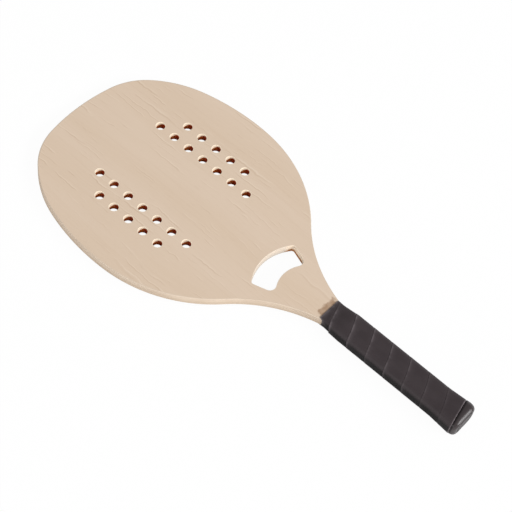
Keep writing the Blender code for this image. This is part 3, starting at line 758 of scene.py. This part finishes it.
def slot_ring(z, extra=0):
    """The arched slot as a ring, widened by its rounding and by the extra all round."""
    growth = edge_inset(z, SLOT_RIM) + extra
    outer = (GRIP_FRONT_X + SLOT_OUTER_AHEAD_OF_GRIP - SLOT_OUTER_RADIUS, 0.0)
    inner = (GRIP_FRONT_X + SLOT_INNER_AHEAD_OF_GRIP - SLOT_INNER_RADIUS, 0.0)
    square = math.radians(SLOT_END_SLANT) + math.pi / 2
    far_r = SLOT_OUTER_CORNER_RADIUS
    near_r = SLOT_INNER_CORNER_RADIUS
    far = fillet_centre(outer[0], SLOT_OUTER_RADIUS - far_r, far_r)
    near = fillet_centre(inner[0], SLOT_INNER_RADIUS + near_r, near_r)
    far_angle = math.atan2(far[1], far[0] - outer[0])
    near_angle = math.atan2(near[1], near[0] - inner[0])
    half = arc_points(outer, SLOT_OUTER_RADIUS + growth, SLOT_OUTER_RADIUS, 0, far_angle)[:-1]
    half += arc_points(far, far_r + growth, far_r, far_angle, square)
    half += arc_points(near, near_r + growth, near_r, square, near_angle + math.pi)
    half += arc_points(inner, SLOT_INNER_RADIUS - growth, SLOT_INNER_RADIUS, near_angle, 0)[1:]
    mirrored = [(x, -y) for x, y in reversed(half[1:-1])]
    return [(x, y, z) for x, y in half + mirrored]


def levels_between(low, high, rounding):
    """Heights from low to high, close together where an edge is rounded."""
    heights = {low, high}
    for step in range(ROUNDING_STEPS):
        height = BOARD_TOP - rounding * (1 - math.sin(math.pi / 2 * step / ROUNDING_STEPS))
        heights.update(z for z in (height, -height) if low < z < high)
    return sorted(heights)


def wall(bm, heights, ring_at, material_index):
    """A wall through rings at the heights, with a narrow flat band where it meets the board's faces."""
    rings = [ring_at(z) for z in heights]
    if heights[0] == -BOARD_TOP:
        rings.insert(0, ring_at(heights[0], FLAT_BAND))
    if heights[-1] == BOARD_TOP:
        rings.append(ring_at(heights[-1], FLAT_BAND))
    rows = [[bm.verts.new(point) for point in ring] for ring in rings]
    bridge(bm, rows, material_index)
    return rows[0], rows[-1]


def fill_between(bm, rings):
    """Fills the first ring with flat faces, leaving the other rings open."""
    edges = []
    for ring in rings:
        for i in range(len(ring)):
            pair = (ring[i - 1], ring[i])
            edges.append(bm.edges.get(pair) or bm.edges.new(pair))
    for element in bmesh.ops.triangle_fill(bm, use_beauty=True, edges=edges)["geom"]:
        if isinstance(element, bmesh.types.BMFace):
            element.material_index = 0


def make_ply(name, level, face_finish, edge_finish, slot_finish):
    """One ply, cut from the board's rounded outline, its eased slot and its air holes."""
    pitch = 2 * BOARD_TOP / len(PLIES)
    low = -BOARD_TOP + level * pitch + (GLUE_LINE if level else 0.0)
    high = BOARD_TOP - (len(PLIES) - 1 - level) * pitch
    bm = bmesh.new()
    rings = [wall(bm, levels_between(low, high, SANDED_ROUNDING), outline_ring, 1)]
    rings.append(wall(bm, levels_between(low, high, SLOT_RIM), slot_ring, 2))
    for centre in hole_centres():
        def hole_at(z, extra=0, centre=centre):
            return circle_ring(centre, HOLE_RADIUS + HOLE_LINING + extra, z)
        rings.append(wall(bm, (low, high), hole_at, 1))
    for end in (0, 1):
        fill_between(bm, [ring[end] for ring in rings])
    return finish_piece(name, bm, (face_finish, edge_finish, slot_finish))


def one_hole_wall():
    """The wall of one air hole round the origin, eased at both rims, as a closed ring."""
    bm = bmesh.new()
    layer = bm.verts.layers.float.new("lamp_facing")
    angles = [math.pi / 2 * step / ROUNDING_STEPS for step in range(ROUNDING_STEPS + 1)]
    rim = [(HOLE_RADIUS - HOLE_RIM * math.cos(a), HOLE_RIM * (1 - math.sin(a))) for a in angles]
    outside = HOLE_RADIUS + HOLE_LINING
    upper = [(radius, BOARD_TOP - drop) for radius, drop in rim]
    lower = [(radius, -z) for radius, z in reversed(upper)]
    profile = [(outside, -BOARD_TOP), *lower, *upper, (outside, BOARD_TOP)]
    rows = [[bm.verts.new(point) for point in circle_ring((0, 0), radius, z)] for radius, z in profile]
    # How squarely each point of the wall faces the key lamp, which steers the painted light and shade on the
    # wall.
    for row in rows:
        for side, vertex in enumerate(row):
            vertex[layer] = math.cos(math.tau * side / HOLE_SIDES - math.radians(HOLE_LAMP_HEADING))
    bridge(bm, rows + rows[:1])
    return bm


def hole_pattern_tree():
    """Geometry nodes that repeat one hole wall over both mirrored groups of two rows."""
    tree = bpy.data.node_groups.new("Drilled hole pattern", "GeometryNodeTree")
    sockets = {"Hole wall": "Geometry", "Pitch": "Float", "Middle along board": "Float",
               "Inner row from axis": "Float", "Holes in inner row": "Int", "Holes in outer row": "Int",
               "Finish": "Material"}
    for name, kind in sockets.items():
        tree.interface.new_socket(name, in_out="INPUT", socket_type="NodeSocket" + kind)
    tree.interface.new_socket("Hole walls", in_out="OUTPUT", socket_type="NodeSocketGeometry")
    given = tree.nodes.new("NodeGroupInput").outputs
    step = socket_of(tree, "ShaderNodeCombineXYZ", {"X": given["Pitch"]})
    rows = tree.nodes.new("GeometryNodeJoinGeometry")
    for row, name in enumerate(("Holes in inner row", "Holes in outer row")):
        half_run = times(tree, times(tree, minus(tree, given[name], 1), 0.5), given["Pitch"])
        start_x = minus(tree, given["Middle along board"], half_run)
        row_y = plus(tree, given["Inner row from axis"], times(tree, given["Pitch"], row))
        for side in (1, -1):
            inputs = {"X": start_x, "Y": times(tree, row_y, side)}
            start = socket_of(tree, "ShaderNodeCombineXYZ", inputs)
            inputs = {"Count": given[name], "Start Location": start, "Offset": step}
            tree.links.new(socket_of(tree, "GeometryNodeMeshLine", inputs, mode="OFFSET"), rows.inputs[0])
    inputs = {"Points": rows.outputs[0], "Instance": given["Hole wall"]}
    repeated = socket_of(tree, "GeometryNodeInstanceOnPoints", inputs)
    real = socket_of(tree, "GeometryNodeRealizeInstances", {"Geometry": repeated})
    painted = socket_of(tree, "GeometryNodeSetMaterial", {"Geometry": real, "Material": given["Finish"]})
    add_node(tree, "NodeGroupOutput", {0: painted})
    return tree


def run_tree(piece, tree, values):
    """Runs geometry nodes on a piece with the named values and keeps the plain mesh that they make."""
    modifier = piece.modifiers.new(tree.name, "NODES")
    modifier.node_group = tree
    for item in tree.interface.items_tree:
        if item.in_out == "INPUT" and item.name in values:
            modifier[item.identifier] = values[item.name]
    evaluated = piece.evaluated_get(bpy.context.evaluated_depsgraph_get())
    mesh = bpy.data.meshes.new_from_object(evaluated)
    piece.modifiers.remove(modifier)
    piece.data = mesh
    return piece


def make_hole_walls(finish):
    piece = finish_piece("air_hole_walls", one_hole_wall(), (finish,))
    return run_tree(piece, hole_pattern_tree(), {
        "Pitch": HOLE_PITCH,
        "Middle along board": TIP_X - HOLE_CENTRE_FROM_TIP,
        "Inner row from axis": INNER_ROW_FROM_AXIS,
        "Holes in inner row": HOLES_PER_ROW[0],
        "Holes in outer row": HOLES_PER_ROW[1],
        "Finish": finish,
    })


# Handle

def handle_stations():
    """Places round the handle from the middle of its top towards +Y, as (across, up, angle).

    Across and up are shares of the way to the corner's centre, and the angle is the way out.
    """
    stretches = (
        (0, 1, 90, HANDLE_FLAT_STEPS),
        (1, 1, 90, HANDLE_CORNER_STEPS),
        (1, 1, 0, HANDLE_SIDE_STEPS),
        (1, -1, 0, HANDLE_CORNER_STEPS),
        (1, -1, -90, 2 * HANDLE_FLAT_STEPS),
        (-1, -1, -90, HANDLE_CORNER_STEPS),
        (-1, -1, -180, HANDLE_SIDE_STEPS),
        (-1, 1, -180, HANDLE_CORNER_STEPS),
        (-1, 1, -270, HANDLE_FLAT_STEPS),
        (0, 1, -270, 0),
    )
    stations = []
    for (*start, steps), (*end, _) in zip(stretches, stretches[1:]):
        for step in range(steps):
            across, up, angle = (a + (b - a) * step / steps for a, b in zip(start, end))
            stations.append((across, up, math.radians(angle)))
    return stations


STATIONS = handle_stations()


def station_point(station, half_width, half_thickness, side_half=SIDE_HALF):
    """The point (y, z) of a station on a rounded section with straight sides."""
    across, up, angle = station
    radius = half_thickness - side_half
    y = across * (half_width - radius) + radius * math.cos(angle)
    return y, up * side_half + radius * math.sin(angle)


def tang_half_width(x):
    """The board's half width at x under the grip, where its neck narrows into the tang."""
    ahead = max(0, NECK_RUN - (GRIP_FRONT_X - x))
    return TANG_HALF_WIDTH + TANG_BLEND_RADIUS - math.sqrt(TANG_BLEND_RADIUS**2 - ahead**2)


def wood_seat(x):
    """The tape's inside on the wood as (half width, half thickness, side half height)."""
    share = min(1, (GRIP_FRONT_X - x) / TAPE_SEAT_RAMP_LENGTH)
    corner_height = BOARD_TOP - EDGE_ROUNDING
    thickness = BOARD_TOP + (CORE_TOP - BOARD_TOP) * share
    side_half = corner_height + (SIDE_HALF - corner_height) * share
    return np.array((tang_half_width(x) + SEAT_CLEARANCE, thickness + SEAT_CLEARANCE, side_half))


def tape_inside(x):
    """Section of the tape's inside at x: on the wood, then over the cap's skirt."""
    on_skirt = np.array((SKIRT_WIDTH + SEAT_CLEARANCE, SKIRT_THICKNESS + SEAT_CLEARANCE, SIDE_HALF))
    share = min(1, max(0, (x - TAPE_FLARE_START_X) / TAPE_CLIMB_LENGTH))
    return on_skirt + (wood_seat(max(x, TAPE_FLARE_START_X)) - on_skirt) * share


def tape_outside(x):
    """Section of the tape's outside at x, before the raised lip of each turn."""
    share = min(1, (GRIP_FRONT_X - x) / TAPE_TAPER_LENGTH)
    thickness = TAPE_SKIVED_THICKNESS + (TAPE_THICKNESS - TAPE_SKIVED_THICKNESS) * share**TAPE_TAPER_POWER
    flared = float(np.interp(x, [TAPE_FLARE_END_X, TAPE_FLARE_START_X], [TAPE_FLARE, 0.0]))
    return wood_seat(x) + np.array((thickness + flared, thickness + flared, 0.0))


# Half width and half thickness of the cap's visible end
CAP_WIDTH, CAP_THICKNESS = tape_outside(0)[:2] + CAP_PROUD_OF_TAPE

# Half width, half thickness and side half height of the recess in the cap's flat end
RECESS_WIDTH = CAP_WIDTH - CAP_EDGE_ROUNDING - PLATE_RIM
RECESS = (RECESS_WIDTH, CAP_THICKNESS - CAP_DOME_DROP - CAP_LIP, CAP_END_SIDE_HALF)


def tape_end_x(station):
    """Where the strip's last edge lies at a station; the edge leans across the handle."""
    return TAPE_END_X - TAPE_END_SLANT * station_point(station, CAP_WIDTH, CAP_THICKNESS)[0]


def tape_front_x(station):
    """Where the grip begins at a station: square across both faces, set back on the sides."""
    return GRIP_FRONT_X - TAPE_SIDE_SETBACK * math.cos(station[2]) ** 2


def tape_rows():
    """Rows across the strip, one for each station passed, as (station, seam x, rear x, front x)."""
    spots = [station_point(s, *tape_outside((GRIP_FRONT_X + SKIRT_X) / 2)) for s in STATIONS]
    passed = np.cumsum([math.dist(spots[i - 1], spots[i]) for i in range(len(spots))])
    shares = (passed - passed[0]) / passed[-1]
    first_seam = GRIP_FRONT_X - FIRST_SEAM_BEHIND_GRIP
    width = TAPE_PITCH + TAPE_OVERLAP
    rows = []
    for index in range(-len(STATIONS), TAPE_TURNS_AT_MOST * len(STATIONS)):
        turn, place = divmod(index, len(STATIONS))
        station = STATIONS[place]
        lag = math.sin(math.tau * (shares[place] - SEAM_STEEPEST_AT)) + math.sin(math.tau * SEAM_STEEPEST_AT)
        wound = turn + shares[place] + SEAM_SWAY * lag / math.tau
        seam_x = first_seam + TAPE_PITCH * (1 - wound)
        rear = max(seam_x - width, tape_end_x(station))
        front = min(seam_x, tape_front_x(station))
        if front - rear >= TAPE_LEAST_WIDTH:
            rows.append((station, seam_x, rear, front))
    return rows


def interpolate(x, pairs):
    return float(np.interp(x, [pair[0] for pair in pairs], [pair[1] for pair in pairs]))


def strip_columns(rear, front):
    """Places across the strip from its rear edge to its front edge."""
    needed = FRONT_COLUMNS[0] + REAR_COLUMNS[-1] + MIDDLE_LEAST_WIDTH
    squeeze = min(1, (front - rear) / needed)
    behind = [rear + squeeze * step for step in REAR_COLUMNS]
    ahead = [front - squeeze * step for step in FRONT_COLUMNS]
    gap = ahead[0] - behind[-1]
    middle = [behind[-1] + gap * (step + 1) / (MIDDLE_COLUMNS + 1) for step in range(MIDDLE_COLUMNS)]
    return behind + middle + ahead


def tape_row(station, seam_x, rear, front):
    """Outside and inside points of one row, and how much wear and painted highlight each of them carries."""
    lip_room = min(1, max(0, tape_front_x(station) - front) / FIRST_SEAM_BEHIND_GRIP)
    lip_room *= LIP_AT_BUTT + (1 - LIP_AT_BUTT) * max(0, front) / GRIP_FRONT_X
    points = []
    wear_and_highlight = []
    columns = strip_columns(rear, front)
    step = interpolate(GRIP_FRONT_X - seam_x, FIRST_STEP) * max(0, math.cos(station[2]))
    for x in columns:
        from_front = front - x
        lip = TAPE_LIP * lip_room * interpolate(from_front, LIP_PROFILE)
        lip -= interpolate(x - rear, CUT_DROP)
        lip += step * max(0, 1 - from_front / FIRST_STEP_LENGTH)
        covered = seam_x - x - TAPE_PITCH - TUCK_START
        tuck = TUCK_DEPTH * min(1, max(0, covered / TUCK_LENGTH))
        width, thickness, side_half = tape_outside(x)
        raised = lip - tuck
        points.append((x, *station_point(station, width + raised, thickness + raised, side_half)))
        # Wear and painted highlight along the strip's front and rear edges, fainter towards the butt.
        faded = WEAR_AND_HIGHLIGHT_AT_BUTT + (1 - WEAR_AND_HIGHLIGHT_AT_BUTT) * x / GRIP_FRONT_X
        edge = max(faded * interpolate(from_front, WEAR_AND_HIGHLIGHT_FADE), 1 - (x - rear) / WEAR_AND_HIGHLIGHT_REAR_LENGTH)
        wear_and_highlight.append(min(1, edge))
    for column in INSIDE_COLUMNS:
        x = columns[column]
        inside = tape_inside(x)
        lift = LAP_LIFT_SHARE * lip_room * max(0, 1 - (front - x) / LAP_LENGTH)
        section = inside + (tape_outside(x) - inside) * lift
        points.append((x, *station_point(station, *section)))
        wear_and_highlight.append(0.0)
    return points, wear_and_highlight


def make_tape(finish):
    """The grip tape: one unbroken strip, each turn's front edge lapped over the turn before it."""
    bm = bmesh.new()
    layer = bm.verts.layers.float.new("wear_and_highlight")
    rows = []
    for spec in tape_rows():
        row = []
        for point, wear_and_highlight_share in zip(*tape_row(*spec)):
            vertex = bm.verts.new(point)
            vertex[layer] = wear_and_highlight_share
            row.append(vertex)
        rows.append(row)
    bridge(bm, rows)
    bm.faces.new(rows[0])
    bm.faces.new(rows[-1])
    return finish_piece("wound_grip_tape", bm, (finish,), TAPE_SHARP_ANGLE)


def section_ring(x, *section):
    return [(x, *station_point(station, *section)) for station in STATIONS]


def cap_edge_ring(share):
    """A ring of the cap's outside at a share of the way from its flat end to the leaning shoulder."""
    ring = []
    for station in STATIONS:
        length = tape_end_x(station) - CAP_CREVICE
        x = share * length
        left = max(0, 1 - x / CAP_EDGE_LENGTH)
        drawn_in = 1 - math.sqrt(1 - left**2)
        drop = CAP_SHOULDER_DROP * max(0, 1 - (length - x) / CAP_SHOULDER_LENGTH) ** 2
        across = CAP_WIDTH - CAP_EDGE_ROUNDING * drawn_in - drop / 2
        fallen = CAP_DOME_DROP * max(0, 1 - x / CAP_DOME_LENGTH) ** CAP_DOME_POWER
        up = CAP_THICKNESS - fallen - drop
        side_half = SIDE_HALF + (CAP_END_SIDE_HALF - SIDE_HALF) * fallen / CAP_DOME_DROP
        ring.append((x, *station_point(station, across, up, side_half)))
    return ring


def shoulder_ring(inset, behind):
    """A ring on the cap's leaning shoulder, drawn in and moved back from the edge of the crevice."""
    section = (CAP_WIDTH - CAP_SHOULDER_DROP / 2 - inset, CAP_THICKNESS - CAP_SHOULDER_DROP - inset)
    return [(tape_end_x(s) - CAP_CREVICE + behind, *station_point(s, *section)) for s in STATIONS]


def loft(rings, shaded_bands):
    """A closed solid through rings of points; face 0 and bands 1, 2... that are listed take the second
    finish, a painted shade.
    """
    bm = bmesh.new()
    rows = [[bm.verts.new(point) for point in ring] for ring in rings]
    bm.faces.new(rows[0]).material_index = int(0 in shaded_bands)
    for number in range(1, len(rows)):
        bridge(bm, rows[number - 1:number + 1], int(number in shaded_bands))
    bm.faces.new(rows[-1])
    return bm


def make_cap(finish, painted_shade):
    """The moulded butt cap: a recessed end, a rounded edge, a leaning shoulder and a skirt."""
    width, thickness, side_half = RECESS
    rings = [section_ring(x, *RECESS) for x in (PLATE_THICKNESS + PLATE_BEDDING, CAP_LIP)]
    rings.append(section_ring(0.0, width + CAP_LIP, thickness + CAP_LIP, side_half))
    for step in range(CAP_EDGE_STEPS + 1):
        rings.append(cap_edge_ring(1 - math.cos(math.pi / 2 * step / CAP_EDGE_STEPS)))
    rings += [
        shoulder_ring(CAP_LIP, CAP_CREVICE_LEAN),
        shoulder_ring(CAP_CREVICE_DEPTH, 2 * CAP_CREVICE_LEAN),
        shoulder_ring(CAP_CREVICE_DEPTH, CAP_CREVICE - 2 * CAP_CREVICE_LEAN),
        shoulder_ring(CAP_WIDTH - SKIRT_WIDTH - CAP_SHOULDER_DROP, CAP_CREVICE - CAP_CREVICE_LEAN),
        section_ring(SKIRT_X, SKIRT_WIDTH, SKIRT_THICKNESS),
        section_ring(SKIRT_X, SKIRT_WIDTH - SKIRT_WALL, SKIRT_THICKNESS - SKIRT_WALL),
        section_ring(END_WALL, SKIRT_WIDTH - SKIRT_WALL, SKIRT_THICKNESS - SKIRT_WALL),
    ]
    # The recess floor and its wall take the painted shade finish.
    return finish_piece("moulded_butt_cap", loft(rings, (0, 1)), (finish, painted_shade))


def make_plate(finish, painted_shade):
    """The thin plate set into the cap's flat end, eased along its edge, with painted shade on that edge in
    the gap round it.
    """
    width, thickness, side_half = RECESS
    rings = []
    for step in range(PLATE_BEVEL_STEPS + 1):
        angle = math.pi / 2 * step / PLATE_BEVEL_STEPS
        inset = PLATE_GAP + PLATE_BEVEL * (1 - math.sin(angle))
        x = PLATE_BEVEL * (1 - math.cos(angle))
        rings.append(section_ring(x, width - inset, thickness - inset, side_half))
    rings.append(section_ring(PLATE_THICKNESS, width - PLATE_GAP, thickness - PLATE_GAP, side_half))
    # Painted shade on the plate's eased edge and side, in the gap round it.
    shaded_bands = range(1, PLATE_BEVEL_STEPS + 2)
    return finish_piece("butt_end_plate", loft(rings, shaded_bands), (finish, painted_shade))


# Studio

def seen_by_camera(tree):
    return socket_of(tree, "ShaderNodeLightPath", output="Is Camera Ray")


def make_floor():
    """A plain floor that the racket's cap and tip lie on, white to the camera but for a faint shadow."""
    material = bpy.data.materials.new("studio_floor")
    material.use_nodes = True
    tree = material.node_tree
    tree.nodes.clear()
    pale = socket_of(tree, "ShaderNodeBsdfDiffuse", {"Color": (*[FLOOR_WHITENESS] * 3, 1)})
    glow = socket_of(tree, "ShaderNodeEmission", {"Color": (1, 1, 1, 1), "Strength": 1})
    share = times(tree, seen_by_camera(tree), 1 - FLOOR_SHADOW_SHARE)
    surface = socket_of(tree, "ShaderNodeMixShader", {0: share, 1: pale, 2: glow})
    add_node(tree, "ShaderNodeOutputMaterial", {"Surface": surface})
    tip_x = TIP_X - EDGE_ROUNDING
    rise = (CAP_THICKNESS - BOARD_TOP) / (tip_x - CAP_EDGE_LENGTH)
    low = -CAP_THICKNESS - FLOOR_GAP - rise * CAP_EDGE_LENGTH
    mesh = bpy.data.meshes.new("floor")
    corners = [(x * FLOOR_REACH, y * FLOOR_REACH) for x, y in ((-1, -1), (1, -1), (1, 1), (-1, 1))]
    mesh.from_pydata([(x, y, low + rise * x) for x, y in corners], [], [(0, 1, 2, 3)])
    mesh.materials.append(material)
    floor = put_in_scene("floor", mesh)


def make_world():
    """A soft even sky, white to the camera."""
    world = bpy.data.worlds.new("studio")
    world.use_nodes = True
    tree = world.node_tree
    tree.nodes.clear()
    strength = ramp(tree, seen_by_camera(tree), 0, 1, SKY_STRENGTH, 1)
    sky = socket_of(tree, "ShaderNodeBackground", {"Color": (1, 1, 1, 1), "Strength": strength})
    add_node(tree, "ShaderNodeOutputWorld", {"Surface": sky})
    bpy.context.scene.world = world


def make_lamp(name, azimuth, elevation, size, power):
    """A soft box aimed near the middle of the racket; azimuth 0 stands on the +X side."""
    data = bpy.data.lights.new(name, "AREA")
    data.shape = "RECTANGLE"
    data.size = size[0]
    data.size_y = size[1]
    data.energy = power
    around = math.radians(azimuth)
    up = math.radians(elevation)
    way = Vector((math.cos(up) * math.cos(around), math.cos(up) * math.sin(around), math.sin(up)))
    place = Vector(LAMP_TARGET) + way * LAMP_DISTANCE
    turn = way.to_track_quat("Z", "Y").to_matrix().to_4x4()
    put_in_scene(name, data).matrix_world = Matrix.Translation(place) @ turn


def make_camera():
    data = bpy.data.cameras.new("camera")
    data.sensor_width = CAMERA_SENSOR
    data.sensor_fit = "HORIZONTAL"
    data.lens = CAMERA_LENS
    data.clip_end = CAMERA_CLIP_END
    camera = put_in_scene("camera", data)
    turn = Vector(CAMERA_FORWARD).to_track_quat("-Z", "Y").to_matrix().to_4x4()
    roll = Matrix.Rotation(math.radians(CAMERA_ROLL), 4, "Z")
    camera.matrix_world = Matrix.Translation(CAMERA_PLACE) @ turn @ roll
    bpy.context.scene.camera = camera


def repaint(names, finish):
    """Gives carried-over CAD nodes a finish."""
    for name in names:
        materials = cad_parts[name].data.materials
        materials.clear()
        materials.append(finish)


def stand_for(piece, slot, *nodes):
    """Puts a piece on the racket's one body in place of its CAD nodes."""
    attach(piece, "root")
    if nodes:
        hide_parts(*nodes)


def main():
    veneer = face_veneer()
    edge = sanded_edge()
    slot = slot_wall()
    for level, (node, name) in enumerate(PLIES):
        outermost = level in (0, len(PLIES) - 1)
        ply = make_ply(name, level, veneer if outermost else edge, edge, slot)
        stand_for(ply, "face_wood" if outermost else "cross_wood", node)
    stand_for(make_hole_walls(drilled_wall()), "cross_wood")
    stand_for(make_tape(tape_leather()), "tape_leather", "grip_tape")
    cap_finish = moulded_plastic("cap_moulding", CAP_TONES, roughness=0.32)
    plate_finish = moulded_plastic("plate_moulding", PLATE_TONES, roughness=0.45)
    # Painted shade for the gap round the end plate and the cap's recess.
    painted_shade = painted_crease_shade()
    stand_for(make_cap(cap_finish, painted_shade), "cap_plastic", "butt_cap")
    stand_for(make_plate(plate_finish, painted_shade), "plate_plastic", "end_plate")
    repaint(("handle_cheek_top", "handle_cheek_bottom"), cheek_timber())
    repaint([f"cap_staple_{number}" for number in range(1, 5)], drawn_steel())
    make_floor()
    make_world()
    make_lamp("key_box", *KEY_BOX)
    make_lamp("fill_box", *FILL_BOX)
    make_camera()
    bpy.context.scene.view_settings.view_transform = "Standard"


main()
